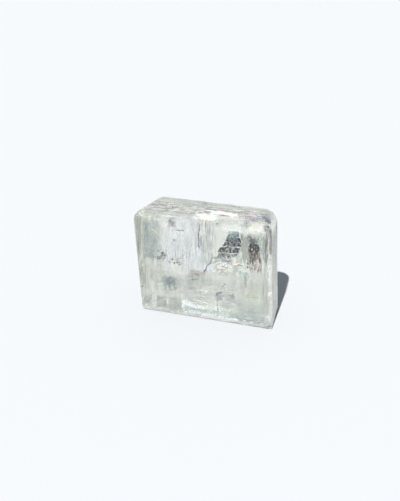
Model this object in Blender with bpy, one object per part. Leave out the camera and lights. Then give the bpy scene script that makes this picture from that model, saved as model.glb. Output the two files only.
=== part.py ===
# A block of optical calcite: one clear crystal with six flat faces, hand-worn round edges
# and a few small bruises along them. It rests on its bottom face.
# Frame: metres, +X along the length, +Y to the back, +Z up, and the origin on the bottom
# face, under the middle of the block.

import math

import bmesh
import bpy
from mathutils import Matrix, Vector

MM = 0.001

# Each upright face: compass direction of its outward normal in degrees, how far its top
# leans outwards in degrees, and its distance from the Z axis at the bottom, in millimetres.
FRONT = {"heading": -90.0, "lean_out": 1.7, "distance": 9.2}
BACK = {"heading": 87.1, "lean_out": 1.3, "distance": 8.6}
LEFT = {"heading": 170.7, "lean_out": 4.9, "distance": 21.9}
RIGHT = {"heading": 5.3, "lean_out": -2.1, "distance": 25.3}

# The top face: its height over the origin, and how it climbs to the right and to the back
TOP_HEIGHT = 39.8
TOP_CLIMB_RIGHT = 0.9
TOP_CLIMB_BACK = 4.2

# Radius that wear has given each corner, in millimetres. An edge tapers between its two.
WEAR = {
    ("bottom", "front", "left"): 1.2,
    ("bottom", "front", "right"): 0.5,
    ("bottom", "back", "right"): 0.8,
    ("bottom", "back", "left"): 1.5,
    ("top", "front", "left"): 3.9,
    ("top", "front", "right"): 1.8,
    ("top", "back", "right"): 5.2,
    ("top", "back", "left"): 5.5,
}
CORNER_STEPS = 7

# Bruises on the edges: the two faces that meet there, how far along from the first corner
# to the second (0 to 1), and the length, width and depth of the scoop in millimetres
BRUISES = {
    "top_back_bruise": {"faces": ("top", "back"), "along": 0.30, "size": (7.0, 4.6, 0.55)},
    "top_front_bruise": {"faces": ("top", "front"), "along": 0.62, "size": (5.0, 2.4, 0.30)},
    "left_corner_bruise": {"faces": ("front", "left"), "along": 0.06, "size": (4.0, 2.6, 0.45)},
    "right_edge_bruise": {"faces": ("front", "right"), "along": 0.90, "size": (4.2, 1.8, 0.28)},
    "back_edge_bruise": {"faces": ("back", "left"), "along": 0.38, "size": (6.0, 2.8, 0.45)},
    "foot_bruise": {"faces": ("bottom", "back"), "along": 0.25, "size": (5.5, 1.8, 0.35)},
}
BRUISE_DETAIL = 4

CALCITE_COLOR = (0.80, 0.83, 0.78, 1.0)
CALCITE_ROUGHNESS = 0.08
CALCITE_IOR = 1.6


def clear_scene():
    for old in list(bpy.data.objects):
        bpy.data.objects.remove(old, do_unlink=True)


def upright_plane(heading, lean_out, distance):
    """Outward unit normal and offset of a plane that leans out by the given angle."""
    turn = math.radians(heading)
    flat = Vector((math.cos(turn), math.sin(turn), -math.tan(math.radians(lean_out))))
    return flat.normalized(), distance / flat.length


def top_plane():
    """Outward unit normal and offset of the sloping top."""
    climb = Vector(
        (-math.tan(math.radians(TOP_CLIMB_RIGHT)), -math.tan(math.radians(TOP_CLIMB_BACK)), 1.0)
    )
    return climb.normalized(), TOP_HEIGHT / climb.length


def face_planes():
    return {
        "bottom": (Vector((0.0, 0.0, -1.0)), 0.0),
        "top": top_plane(),
        "front": upright_plane(**FRONT),
        "back": upright_plane(**BACK),
        "left": upright_plane(**LEFT),
        "right": upright_plane(**RIGHT),
    }


def meeting_point(planes, faces, inset):
    """The point at the same distance, inset, inside each of three faces."""
    normals = Matrix([planes[face][0] for face in faces])
    offsets = Vector([planes[face][1] - inset for face in faces])
    return normals.inverted() @ offsets


def worn_block(planes):
    """The hull of one ball at each corner, so that faces are flat and edges are round."""
    mesh = bmesh.new()
    for faces, radius in WEAR.items():
        centre = meeting_point(planes, faces, radius)
        first, second, third = (planes[face][0] for face in faces)
        for i in range(CORNER_STEPS + 1):
            for j in range(CORNER_STEPS + 1 - i):
                k = CORNER_STEPS - i - j
                outward = (first * i + second * j + third * k).normalized()
                mesh.verts.new((centre + outward * radius) * MM)
    hull = bmesh.ops.convex_hull(mesh, input=mesh.verts)
    bmesh.ops.delete(mesh, geom=hull["geom_interior"], context="VERTS")
    bmesh.ops.recalc_face_normals(mesh, faces=mesh.faces)
    return mesh


def edge_ends(faces):
    """The two corners that lie on both faces, in the order of the list above."""
    return [corner for corner in WEAR if faces[0] in corner and faces[1] in corner]


def add_bruise(name, planes, faces, along, size):
    """A wire-drawn ellipsoid that scoops a shallow hollow out of a worn edge."""
    start, end = edge_ends(faces)
    radius = WEAR[start] + (WEAR[end] - WEAR[start]) * along
    from_centre = meeting_point(planes, start, WEAR[start])
    to_centre = meeting_point(planes, end, WEAR[end])
    centre = from_centre.lerp(to_centre, along)
    outward = (planes[faces[0]][0] + planes[faces[1]][0]).normalized()
    run = (to_centre - from_centre).normalized()
    across = outward.cross(run).normalized()
    run = across.cross(outward)
    length, width, depth = size
    half_height = 2.0 * depth
    place = centre + outward * (radius - depth + half_height)
    mesh = bmesh.new()
    bmesh.ops.create_icosphere(mesh, subdivisions=BRUISE_DETAIL, radius=1.0)
    stretch = Matrix.Diagonal((length / 2, width / 2, half_height, 1.0))
    turn = Matrix((run, across, outward)).transposed().to_4x4()
    bmesh.ops.transform(mesh, matrix=turn @ stretch, verts=mesh.verts)
    bmesh.ops.transform(mesh, matrix=Matrix.Translation(place), verts=mesh.verts)
    bmesh.ops.scale(mesh, vec=(MM, MM, MM), verts=mesh.verts)
    bmesh.ops.recalc_face_normals(mesh, faces=mesh.faces)
    cutter = add_object(name, mesh)
    cutter.hide_render = True
    cutter.display_type = "WIRE"
    return cutter


def add_object(name, mesh):
    data = bpy.data.meshes.new(name)
    mesh.to_mesh(data)
    mesh.free()
    made = bpy.data.objects.new(name, data)
    bpy.context.scene.collection.objects.link(made)
    return made


def calcite_material():
    material = bpy.data.materials.new("calcite")
    material.use_nodes = True
    shader = material.node_tree.nodes["Principled BSDF"]
    shader.inputs["Base Color"].default_value = CALCITE_COLOR
    shader.inputs["Metallic"].default_value = 0.0
    shader.inputs["Roughness"].default_value = CALCITE_ROUGHNESS
    shader.inputs["IOR"].default_value = CALCITE_IOR
    shader.inputs["Transmission Weight"].default_value = 1.0
    return material


def build():
    clear_scene()
    planes = face_planes()
    crystal = add_object("crystal", worn_block(planes))
    crystal.data.materials.append(calcite_material())
    for name, bruise in BRUISES.items():
        cut = crystal.modifiers.new(name, "BOOLEAN")
        cut.operation = "DIFFERENCE"
        cut.solver = "EXACT"
        cut.object = add_bruise(name, planes, **bruise)
    crystal.data.shade_smooth()
    crystal.data.set_sharp_from_angle(angle=math.radians(30.0))


build()
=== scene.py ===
import math

import bpy
import numpy as np
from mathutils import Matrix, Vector


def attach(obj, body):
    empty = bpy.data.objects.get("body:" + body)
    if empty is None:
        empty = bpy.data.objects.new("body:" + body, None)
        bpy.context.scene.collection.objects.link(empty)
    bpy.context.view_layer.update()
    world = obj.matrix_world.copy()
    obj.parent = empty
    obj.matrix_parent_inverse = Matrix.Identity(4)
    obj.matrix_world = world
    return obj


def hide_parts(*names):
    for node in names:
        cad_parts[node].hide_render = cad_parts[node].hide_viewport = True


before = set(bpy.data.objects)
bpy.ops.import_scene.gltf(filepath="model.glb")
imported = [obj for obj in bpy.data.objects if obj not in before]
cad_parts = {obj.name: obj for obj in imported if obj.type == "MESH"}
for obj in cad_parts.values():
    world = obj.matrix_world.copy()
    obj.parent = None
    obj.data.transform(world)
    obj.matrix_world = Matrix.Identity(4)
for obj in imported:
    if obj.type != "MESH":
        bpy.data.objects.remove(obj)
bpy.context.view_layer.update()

mm = 0.001


# Camera: stands a little to the right of the block's front and looks down on it
cameraLook = {
    "place": (73.4, -236.5, 135.6),  # mm
    "turn": 18.03,  # degrees to the left of straight back
    "down": 24.4,
    "lens": 53.9,
    "sensor": 36.0,
    "frame": (400, 501),  # pixels across and down
    "clipStart": 0.01,
}


def addCamera(look):
    data = bpy.data.cameras.new("viewCamera")
    data.lens = look["lens"]
    data.clip_start = look["clipStart"]
    made = bpy.data.objects.new("viewCamera", data)
    made.location = Vector(look["place"]) * mm
    made.rotation_euler = (math.radians(90 - look["down"]), 0, math.radians(look["turn"]))
    bpy.context.scene.collection.objects.link(made)
    bpy.context.scene.camera = made


addCamera(cameraLook)
print("camera placed")


# Small helpers for meshes, materials and nodes
def meshPiece(name, points, faces, smooth=True):
    data = bpy.data.meshes.new(name)
    data.from_pydata(points.tolist(), [], faces.tolist())
    data.polygons.foreach_set("use_smooth", np.full(len(data.polygons), smooth))
    data.update()
    made = bpy.data.objects.new(name, data)
    bpy.context.scene.collection.objects.link(made)
    return made


def addMask(piece, name, values):
    layer = piece.data.attributes.new(name, "FLOAT", "POINT")
    layer.data.foreach_set("value", values.astype(np.float32))


def newMaterial(name):
    made = bpy.data.materials.new(name)
    made.use_nodes = True
    return made, made.node_tree, made.node_tree.nodes["Principled BSDF"]


def feed(tree, socket, value):
    # an output is linked to the socket, a number or colour is set on it
    if isinstance(value, bpy.types.NodeSocket):
        tree.links.new(value, socket)
    else:
        socket.default_value = value


def addNode(tree, kind, *firsts, **others):
    # others name a property or an input, and firsts fill the first inputs in their order
    made = tree.nodes.new(kind)
    for key, value in others.items():
        if key in made.inputs:
            feed(tree, made.inputs[key], value)
        else:
            setattr(made, key, value)
    for socket, value in zip(made.inputs, firsts):
        feed(tree, socket, value)
    return made


def multiply(tree, first, second):
    return addNode(tree, "ShaderNodeMath", first, second, operation="MULTIPLY").outputs[0]


def mapTo(tree, value, low, high):
    # 0 to 1 becomes low to high
    return addNode(tree, "ShaderNodeMapRange", value, 0.0, 1.0, low, high).outputs[0]


def blendColors(tree, share, first, second):
    # the mix node has its colors at inputs 6 and 7 and their blend at output 2
    mix = addNode(tree, "ShaderNodeMix", share, data_type="RGBA")
    feed(tree, mix.inputs[6], first)
    feed(tree, mix.inputs[7], second)
    return mix.outputs[2]


def addNoise(tree, where, scale, detail, roughness):
    made = addNode(tree, "ShaderNodeTexNoise", where, Scale=scale, Detail=detail, Roughness=roughness)
    return made.outputs["Fac"]


def readMask(tree, name):
    return addNode(tree, "ShaderNodeAttribute", attribute_name=name).outputs["Fac"]


# The block. Same driving sizes as its solid: heading and lean in degrees, distances in mm.
blockShape = {
    "front": {"heading": -90.0, "leanOut": 1.7, "distance": 9.2},
    "back": {"heading": 87.1, "leanOut": 1.3, "distance": 8.6},
    "left": {"heading": 170.7, "leanOut": 4.9, "distance": 21.9},
    "right": {"heading": 5.3, "leanOut": -2.1, "distance": 25.3},
    "topHeight": 39.8,
    "topClimbRight": 0.9,
    "topClimbBack": 4.2,
    # wear radius of the corners: (left, right) pairs, bottom front, bottom back, top front, top back
    "wear": ((1.2, 0.5), (1.5, 0.8), (3.9, 1.8), (5.5, 5.2)),
    "gridSteps": 120,
    "arcSteps": 9,
    # bruises: the two faces that meet there, how far along, and length, width and depth in mm
    "bruises": (
        ("top", "back", 0.30, (7.0, 4.6, 0.55)),
        ("top", "front", 0.62, (5.0, 2.4, 0.30)),
        ("front", "left", 0.06, (4.0, 2.6, 0.45)),
        ("front", "right", 0.90, (4.2, 1.8, 0.28)),
        ("back", "left", 0.38, (6.0, 2.8, 0.45)),
        ("bottom", "back", 0.25, (5.5, 1.8, 0.35)),
    ),
    "swell": 0.035,  # height in mm of the slow waves of the rubbed faces
    "swellWaves": (3, 14, (0.16, 0.16, 0.12)),  # seed, count, most turns per mm on X, Y, Z
    "grooves": 0.030,  # and of the upright grooves of the split faces
    "grooveWaves": (4, 18, (0.55, 0.55, 0.03)),
    # how much a normal points the way of a rubbed face, or down, where a change starts and is whole
    "rubbedFrom": (0.35, 0.9),
    "levelFrom": (0.3, 0.8),
    "footFrom": (0.6, 0.9),
}
# axis, and low or high side
faceSides = {
    "left": (0, 0), "right": (0, 1), "front": (1, 0), "back": (1, 1), "bottom": (2, 0), "top": (2, 1),
}


def uprightPlane(face):
    turn = math.radians(face["heading"])
    normal = np.array([math.cos(turn), math.sin(turn), -math.tan(math.radians(face["leanOut"]))])
    length = np.linalg.norm(normal)
    return normal / length, face["distance"] / length


def facePlanes(shape):
    climb = np.array([
        -math.tan(math.radians(shape["topClimbRight"])),
        -math.tan(math.radians(shape["topClimbBack"])),
        1.0,
    ])
    length = np.linalg.norm(climb)
    # per axis: the face on the low side, then the face on the high side
    return (
        (uprightPlane(shape["left"]), uprightPlane(shape["right"])),
        (uprightPlane(shape["front"]), uprightPlane(shape["back"])),
        ((np.array([0.0, 0.0, -1.0]), 0.0), (climb / length, shape["topHeight"] / length)),
    )


def blockCorners(shape):
    # ball centres and radii [x side, y side, z side]: each ball touches its three faces from inside
    planes = facePlanes(shape)
    centres = np.zeros((2, 2, 2, 3))
    radii = np.zeros((2, 2, 2))
    for x, y, z in np.ndindex(2, 2, 2):
        radius = shape["wear"][2 * z + y][x]
        three = (planes[0][x], planes[1][y], planes[2][z])
        normals = np.array([plane[0] for plane in three])
        offsets = np.array([plane[1] - radius for plane in three])
        centres[x, y, z] = np.linalg.solve(normals, offsets)
        radii[x, y, z] = radius
    return centres, radii


def wornBlock(shape):
    # Surface points of a cube lattice. The middle of each axis runs across the flat face (place
    # goes 0 to 1), and the end steps swing the normal through 45 degrees to the next face.
    # point = blended ball centre + blended radius * blended normal.
    steps = shape["gridSteps"]
    arc = shape["arcSteps"]
    index = np.arange(steps + 1)
    place = np.clip((index - arc) / (steps - 2 * arc), 0, 1)
    swing = np.tan(math.pi / 4 * np.clip(np.maximum(arc - index, index - steps + arc) / arc, 0, 1))
    high = index > steps / 2
    shell = np.zeros((steps + 1,) * 3, bool)
    shell[[0, -1]] = True
    shell[:, [0, -1]] = True
    shell[:, :, [0, -1]] = True
    lattice = np.argwhere(shell)
    number = np.full(shell.shape, -1)
    number[tuple(lattice.T)] = np.arange(len(lattice))
    planes = facePlanes(shape)
    centres, radii = blockCorners(shape)
    normal = np.zeros((len(lattice), 3))
    weight = np.ones((len(lattice), 2, 2, 2))
    for axis in range(3):
        here = lattice[:, axis]
        side = np.where(high[here][:, None], planes[axis][1][0], planes[axis][0][0])
        normal += swing[here][:, None] * side
        blend = np.stack([1 - place[here], place[here]], 1)
        weight *= blend.reshape((-1,) + (1,) * axis + (2,) + (1,) * (2 - axis))
    normal /= np.linalg.norm(normal, axis=1, keepdims=True)
    points = np.einsum("pxyz,xyzc->pc", weight, centres)
    points += np.einsum("pxyz,xyz->p", weight, radii)[:, None] * normal
    faces = []
    for axis in range(3):
        for end in (0, steps):
            sheet = np.take(number, end, axis=axis)
            a, b, c, d = sheet[:-1, :-1], sheet[1:, :-1], sheet[1:, 1:], sheet[:-1, 1:]
            quads = np.stack([a, b, c, d], -1).reshape(-1, 4)
            outward = (end > 0) != (axis == 1)
            faces.append(quads if outward else quads[:, ::-1])
    return points, normal, np.concatenate(faces)


def softStep(low, high, value):
    t = np.clip((value - low) / (high - low), 0, 1)
    return t * t * (3 - 2 * t)


def frostAmount(normals, shape):
    # 1 on the naturally split faces (back, sides, bottom), 0 on the rubbed front and top
    planes = facePlanes(shape)
    front, top = planes[1][0][0], planes[2][1][0]
    rubbed = np.maximum(normals @ front, normals @ top)
    return 1 - softStep(*shape["rubbedFrom"], rubbed)


def bruisedBlock(points, shape):
    # Each bruise is the lower half of an ellipsoid that dips into a worn edge: what stands above
    # its bowl, -halfHigh * sqrt(1 - (along / half length)^2 - (across / half width)^2), is pushed down.
    planes = facePlanes(shape)
    centres, radii = blockCorners(shape)
    for first, second, along, size in shape["bruises"]:
        (axisA, endA), (axisB, endB) = faceSides[first], faceSides[second]
        start, stop = [0, 0, 0], [1, 1, 1]
        start[axisA] = stop[axisA] = endA
        start[axisB] = stop[axisB] = endB
        start, stop = tuple(start), tuple(stop)
        middle = centres[start] * (1 - along) + centres[stop] * along
        radius = radii[start] * (1 - along) + radii[stop] * along
        out = planes[axisA][endA][0] + planes[axisB][endB][0]
        out /= np.linalg.norm(out)
        across = np.cross(out, centres[stop] - centres[start])
        across /= np.linalg.norm(across)
        run = np.cross(across, out)
        long, wide, deep = size
        halfHigh = 2 * deep
        local = points - (middle + out * (radius - deep + halfHigh))
        spread = 1 - (local @ run / (long / 2)) ** 2 - (local @ across / (wide / 2)) ** 2
        bowl = -halfHigh * np.sqrt(np.clip(spread, 0, None))
        above = np.where(spread > 0, np.clip(local @ out - bowl, 0, None), 0)
        points = points - above[:, None] * out
    return points


def slowWaves(points, seed, count, pace):
    # sum of plane sine waves through space, about -1 to 1; pace is the most turns per mm on X, Y, Z
    draw = np.random.default_rng(seed)
    total = np.zeros(len(points))
    for wave in range(count):
        turns = draw.uniform(-1, 1, 3) * pace
        total += np.sin(2 * math.pi * (points @ turns) + draw.uniform(0, 2 * math.pi))
    return total / math.sqrt(count / 2)


def unevenBlock(points, normals, shape):
    # slow waves on the rubbed faces, upright grooves on the split ones, none on the bottom
    split = frostAmount(normals, shape)
    level = softStep(*shape["levelFrom"], -normals[:, 2])
    slow = shape["swell"] * slowWaves(points, *shape["swellWaves"])
    groove = shape["grooves"] * slowWaves(points, *shape["grooveWaves"])
    height = ((1 - split) * slow + split * groove) * (1 - level)
    # sunk, so that no wave stands out past the solid's box
    return points + (height - shape["swell"])[:, None] * normals * (1 - level)[:, None]


blockPoints, blockNormals, blockFaces = wornBlock(blockShape)
blockPoints = unevenBlock(bruisedBlock(blockPoints, blockShape), blockNormals, blockShape)
crystal = meshPiece("clearBlock", blockPoints * mm, blockFaces)
addMask(crystal, "frost", frostAmount(blockNormals, blockShape))
addMask(crystal, "foot", softStep(*blockShape["footFrom"], -blockNormals[:, 2]))
print("block made", len(blockFaces), "faces")


# Clear calcite
calciteLook = {
    "color": (1.0, 1.0, 1.0, 1),
    "ior": 1.6,
    "absorb": (0.80, 0.84, 0.74, 1),
    "density": 14.0,
    "rubbedRoughness": 0.05,
    "frostRoughness": 0.42,
    "lampsIn": (0.905, 0.905, 0.89, 1),  # light let in to the flaws
    "lampsOut": (0.075, 0.09, 0.115, 1),  # light let out to the floor behind
    "lampsFoot": (0.40, 0.43, 0.42, 1),  # light let out through the bottom face
    "stretch": (1.0, 1.0, 0.07),  # draws the frost's noise out upright
    "blotches": (160.0, 3.0, 0.55),  # noise scale, detail and roughness
    "grooves": (900.0, 3.0, 0.6),
    "grooveStrength": 0.25,
    "grooveHeight": 0.0004,  # m
}


def clearCalcite(look):
    # Clear glass for the eye. Shadow rays, which glass would stop, are let straight through in
    # set shares: into the block, out of its sides, and out of its foot.
    made, tree, shader = newMaterial("clearCalcite")
    shader.inputs["Base Color"].default_value = look["color"]
    shader.inputs["IOR"].default_value = look["ior"]
    shader.inputs["Transmission Weight"].default_value = 1.0
    where = addNode(tree, "ShaderNodeTexCoord").outputs["Object"]
    drawnOut = addNode(tree, "ShaderNodeMapping", where, Scale=look["stretch"]).outputs[0]
    grooves = addNoise(tree, drawnOut, *look["grooves"])
    blotches = addNoise(tree, drawnOut, *look["blotches"])
    frost = readMask(tree, "frost")
    varied = multiply(tree, frost, blotches)
    rough = mapTo(tree, varied, look["rubbedRoughness"], look["frostRoughness"])
    feed(tree, shader.inputs["Roughness"], rough)
    height = multiply(tree, frost, grooves)
    bump = addNode(tree, "ShaderNodeBump", Strength=look["grooveStrength"], Distance=look["grooveHeight"],
                   Height=height)
    feed(tree, shader.inputs["Normal"], bump.outputs[0])
    leaving = blendColors(tree, readMask(tree, "foot"), look["lampsOut"], look["lampsFoot"])
    inside = addNode(tree, "ShaderNodeNewGeometry").outputs["Backfacing"]
    share = blendColors(tree, inside, leaving, look["lampsIn"])
    letThrough = addNode(tree, "ShaderNodeBsdfTransparent", share)
    shadowRay = addNode(tree, "ShaderNodeLightPath").outputs["Is Shadow Ray"]
    mix = addNode(tree, "ShaderNodeMixShader", shadowRay, shader.outputs[0], letThrough.outputs[0])
    absorb = addNode(tree, "ShaderNodeVolumeAbsorption", Color=look["absorb"], Density=look["density"])
    out = tree.nodes["Material Output"]
    feed(tree, out.inputs["Surface"], mix.outputs[0])
    feed(tree, out.inputs["Volume"], absorb.outputs[0])
    return made


crystal.data.materials.append(clearCalcite(calciteLook))
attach(crystal, "root")
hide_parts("crystal")


# Flaws. Each is placed by where the photo shows it: a point (across, down) in the camera's frame
# and a depth in mm under the face that it is seen through, or by points in mm.
def photoRays(spots):
    turn, down = math.radians(cameraLook["turn"]), math.radians(cameraLook["down"])
    ahead = np.array([-math.sin(turn) * math.cos(down), math.cos(turn) * math.cos(down), -math.sin(down)])
    side = np.array([math.cos(turn), math.sin(turn), 0.0])
    upward = np.cross(side, ahead)
    frameWide, frameHigh = cameraLook["frame"]
    focal = cameraLook["lens"] * frameHigh / cameraLook["sensor"]
    across = (spots[..., :1] - frameWide / 2) / focal
    below = (spots[..., 1:] - frameHigh / 2) / focal
    rays = ahead + across * side - below * upward
    return rays / np.linalg.norm(rays, axis=-1, keepdims=True)


def namedPlane(face):
    axis, end = faceSides[face]
    return facePlanes(blockShape)[axis][end]


def underFace(spots, depth, face):
    # ray to the face, bent by Snell's law, then straight on to the given depth
    normal, distance = namedPlane(face)
    eye = np.array(cameraLook["place"])
    rays = photoRays(np.asarray(spots, float))
    entry = eye + rays * ((distance - eye @ normal) / (rays @ normal))[..., None]
    facing = -(rays @ normal)
    ratio = 1 / calciteLook["ior"]
    straight = ratio * facing - np.sqrt(1 - ratio**2 * (1 - facing**2))
    bent = ratio * rays + straight[..., None] * normal
    return entry + bent * (depth / -(bent @ normal))[..., None]


def wornSurface(points):
    # Room to the worn surface, inside positive and no more than the wear radius there, and the
    # outward way. room = wear radius - length of what the rooms to the six faces fall short of it.
    planes = [plane for pair in facePlanes(blockShape) for plane in pair]
    normals = np.array([normal for normal, distance in planes])
    room = np.stack([distance - points @ normal for normal, distance in planes], -1)
    right, back, high = (room[..., low] / (room[..., low] + room[..., low + 1]) for low in (0, 2, 4))
    shares = [np.stack([1 - part, part], -1) for part in np.clip([back, high, right], 0, 1)]
    bottomFront, bottomBack, topFront, topBack = blockShape["wear"]
    wear = np.array([[bottomFront, topFront], [bottomBack, topBack]])
    worn = np.einsum("...i,...j,...k,ijk->...", *shares, wear)
    short = np.clip(worn[..., None] - room, 0, None)
    size = np.sqrt((short**2).sum(-1))
    tiny = 1e-6  # keeps points in the middle, where size is 0, from a division by it
    out = (short @ normals) / np.maximum(size, tiny)[..., None]
    return np.where(size > 0, worn - size, worn), out


def keepInside(points, margin, rounds=3):
    # pushes what lies nearer than the margin, or outside, straight in
    for step in range(rounds):
        room, out = wornSurface(points)
        points = points - np.clip(margin - room, 0, None)[..., None] * out
    return points


def ripple(u, v, seed, finest, coarsest=0.6, waves=9):
    # sum of sine waves of random direction, phase and turns per side, about -1 to 1
    draw = np.random.default_rng(seed)
    total = np.zeros(np.broadcast(u, v).shape)
    for step in range(waves):
        pace = 2 * math.pi * draw.uniform(coarsest, finest)
        turn = draw.uniform(0, 2 * math.pi)
        total += np.sin(pace * (math.cos(turn) * u + math.sin(turn) * v) + draw.uniform(0, 2 * math.pi))
    return total / math.sqrt(waves / 2)


def fourOf(value, width=1):
    # one value for each corner, or one for the top and one for the foot, or one for all
    rows = np.asarray(value, float).reshape(-1, width)
    return rows if len(rows) == 4 else rows[[0, 0, -1, -1]]


def blendFour(corners, u, v):
    # corners run top left, top right, bottom right, bottom left; v goes down
    corners = np.asarray(corners, float)
    u, v = u[..., None], v[..., None]
    high = corners[0] * (1 - u) + corners[1] * u
    low = corners[3] * (1 - u) + corners[2] * u
    return high * (1 - v) + low * v


def addTints(piece, tints):
    layer = piece.data.color_attributes.new("tint", "FLOAT_COLOR", "POINT")
    rgba = np.ones((len(tints), 4), np.float32)
    rgba[:, :3] = tints
    layer.data.foreach_set("color", rgba.ravel())


flawSet = bpy.data.collections.new("flaws")  # what the lamp behind the block lights


def finishFlaw(piece, material):
    piece.visible_shadow = False  # scattered light fills the real crystal behind each flaw
    flawSet.objects.link(piece)
    piece.data.materials.append(flawMaterials[material])
    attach(piece, "root")


# what a sheet has where its own look says nothing; soft is how far in from each side, as a share
# of the sheet, the edge fades: left, top, right, bottom
sheetLook = {
    "face": "front",
    "steps": 48,
    "soft": 0.3,
    "ragged": 0.35,  # how far the edge wanders in and out, as a share of soft
    "edgeFinest": 5,
    "edgeSlope": 6,  # no alpha at the very rim, whole at one part in this many of the soft edge
    "strength": 1.0,
    "material": "softSmoke",
    "wave": 0.3,  # mm
    "waveFinest": 2.5,
    "thick": 0.03,  # mm
    "room": 0.25,  # least mm to the crystal's surface
}


def addVeil(name, given):
    # Thin closed sheet: a grid blended between four corners, waved a little, twice, the second
    # layer a hair deeper, joined by a rim. "fade" falls to 0 at its ragged outline.
    look = {**sheetLook, **given}
    steps, seed = look["steps"], look["seed"]
    u, v = np.meshgrid(np.linspace(0, 1, steps), np.linspace(0, 1, steps))
    wave = look["wave"] * ripple(u, v, seed, look["waveFinest"])
    spots = blendFour(look["corners"], u, v)
    if spots.shape[-1] == 3:
        inward = np.cross(spots[0, -1] - spots[0, 0], spots[-1, 0] - spots[0, 0])
        inward /= np.linalg.norm(inward)
        layer = spots + wave[..., None] * inward
    else:
        depth = blendFour(fourOf(look["depth"]), u, v)[..., 0] + wave
        layer = underFace(spots, depth, look["face"])
        inward = -namedPlane(look["face"])[0]
    layer = layer.reshape(-1, 3)
    near = keepInside(layer, look["room"])
    far = keepInside(layer + look["thick"] * inward, look["room"] + look["thick"])
    number = np.arange(steps * steps).reshape(steps, steps)
    quads = np.stack([number[:-1, :-1], number[1:, :-1], number[1:, 1:], number[:-1, 1:]], -1)
    quads = quads.reshape(-1, 4)
    loop = np.concatenate([number[0, :-1], number[:-1, -1], number[-1, :0:-1], number[:0:-1, 0]])
    after = np.roll(loop, -1)
    rim = np.stack([loop, after, after + steps * steps, loop + steps * steps], -1)
    faces = np.concatenate([quads, quads[:, ::-1] + steps * steps, rim])
    made = meshPiece(name, np.concatenate([near, far]) * mm, faces)
    soft = fourOf(look["soft"])[:, 0]
    edges = np.stack([u / soft[0], v / soft[1], (1 - u) / soft[2], (1 - v) / soft[3]]).min(0)
    ragged = edges + look["ragged"] * ripple(u, v, seed + 1, look["edgeFinest"])
    strength = blendFour(fourOf(look["strength"]), u, v)[..., 0]
    fade = softStep(0.0, 1.0, ragged) * np.clip(edges * look["edgeSlope"], 0, 1) * strength
    addMask(made, "fade", np.tile(fade.ravel(), 2))
    tints = blendFour(fourOf(look["tints"], 3), u, v).reshape(-1, 3)
    addTints(made, np.tile(tints, (2, 1)))
    finishFlaw(made, look["material"])


toLamp = (0.0, -0.62, 0.78)  # facing the key, so these shine white
toFront = (0.0, -1.0, 0.1)
# what plates have where their own look says nothing
plateLook = {
    "face": "front",
    "facing": toFront,
    "scatter": 0.1,
    "aspect": (0.4, 0.9),  # least and most width for a length of 1
    "thick": 0.12,  # share of the width
    "skew": 0.3,  # most that the side points slide along, as a share of the length
    "dimmest": 0.75,  # share of the tint that the darkest plate has
    "grain": (0.0, 0.0, 1.0),  # the way that the plates run
    "grainScatter": 0.6,
    "clump": 0.0,  # higher gathers them in fewer clumps
    "clumpPace": (0.35, 0.35, 0.2),
    "clumpWaves": 16,
    "clumpBlur": 0.35,
    "tries": 5,  # random points for each plate that is wanted
    "room": 0.15,  # least mm from a plate's tips to the surface
    "cloudRoom": 0.3,  # and from its middle
}
plateFaces = np.array([
    [0, 1, 4], [1, 2, 4], [2, 3, 4], [3, 0, 4], [1, 0, 5], [2, 1, 5], [3, 2, 5], [0, 3, 5],
])


def addPlates(name, look, draw, centres, tints):
    # thin eight-sided plates: four rim points and two tips each, long way along the grain
    count = len(centres)
    normal = np.array(look["facing"]) + look["scatter"] * draw.normal(size=(count, 3))
    normal /= np.linalg.norm(normal, axis=1, keepdims=True)
    grain = np.array(look["grain"]) + look["grainScatter"] * draw.normal(size=(count, 3))
    along = grain - (grain * normal).sum(1, keepdims=True) * normal
    along /= np.linalg.norm(along, axis=1, keepdims=True)
    across = np.cross(normal, along)
    least, most = look["size"]
    long = np.exp(draw.uniform(math.log(least), math.log(most), count))[:, None] / 2
    wide = long * draw.uniform(*look["aspect"], (count, 1))
    thick = wide * look["thick"]
    skew = draw.uniform(-look["skew"], look["skew"], (count, 2, 1))
    tips = np.stack([
        centres + along * long, centres + across * wide + along * long * skew[:, 0],
        centres - along * long, centres - across * wide + along * long * skew[:, 1],
        centres + normal * thick, centres - normal * thick,
    ], 1)
    tints = tints * draw.uniform(look["dimmest"], 1.0, (count, 1))
    whole = (wornSurface(tips)[0] > look["room"]).all(1)  # the others would stand out of the crystal
    tips, tints = tips[whole], tints[whole]
    faces = (np.arange(len(tips))[:, None, None] * 6 + plateFaces).reshape(-1, 3)
    made = meshPiece(name, tips.reshape(-1, 3) * mm, faces, smooth=False)
    addTints(made, np.repeat(tints, 6, axis=0))
    print(name, len(tips), "plates")
    finishFlaw(made, "crackPlates")


def addCloud(name, given):
    # Plates at random points of the areas and at random depths, kept where slow waves pass a
    # limit, so that they gather in clumps. Each takes one of the tints, by their shares.
    look = {**plateLook, **given}
    draw = np.random.default_rng(look["seed"])
    each = look["count"] * look["tries"] // len(look["areas"])
    found = []
    for area in look["areas"]:
        spots = blendFour(area, draw.random(each), draw.random(each))
        centres = underFace(spots, draw.uniform(*look["depth"], each), look["face"])
        clump = slowWaves(centres, look["seed"] + 7, look["clumpWaves"], look["clumpPace"])
        keep = clump + draw.normal(0, look["clumpBlur"], each) > look["clump"]
        found.append(centres[keep & (wornSurface(centres)[0] > look["cloudRoom"])])
    centres = np.concatenate(found)
    centres = centres[draw.permutation(len(centres))[:look["count"]]]
    colors, shares = zip(*look["tints"])
    pick = draw.choice(len(colors), len(centres), p=np.array(shares) / sum(shares))
    addPlates(name, look, draw, centres, np.array(colors)[pick])


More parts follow.
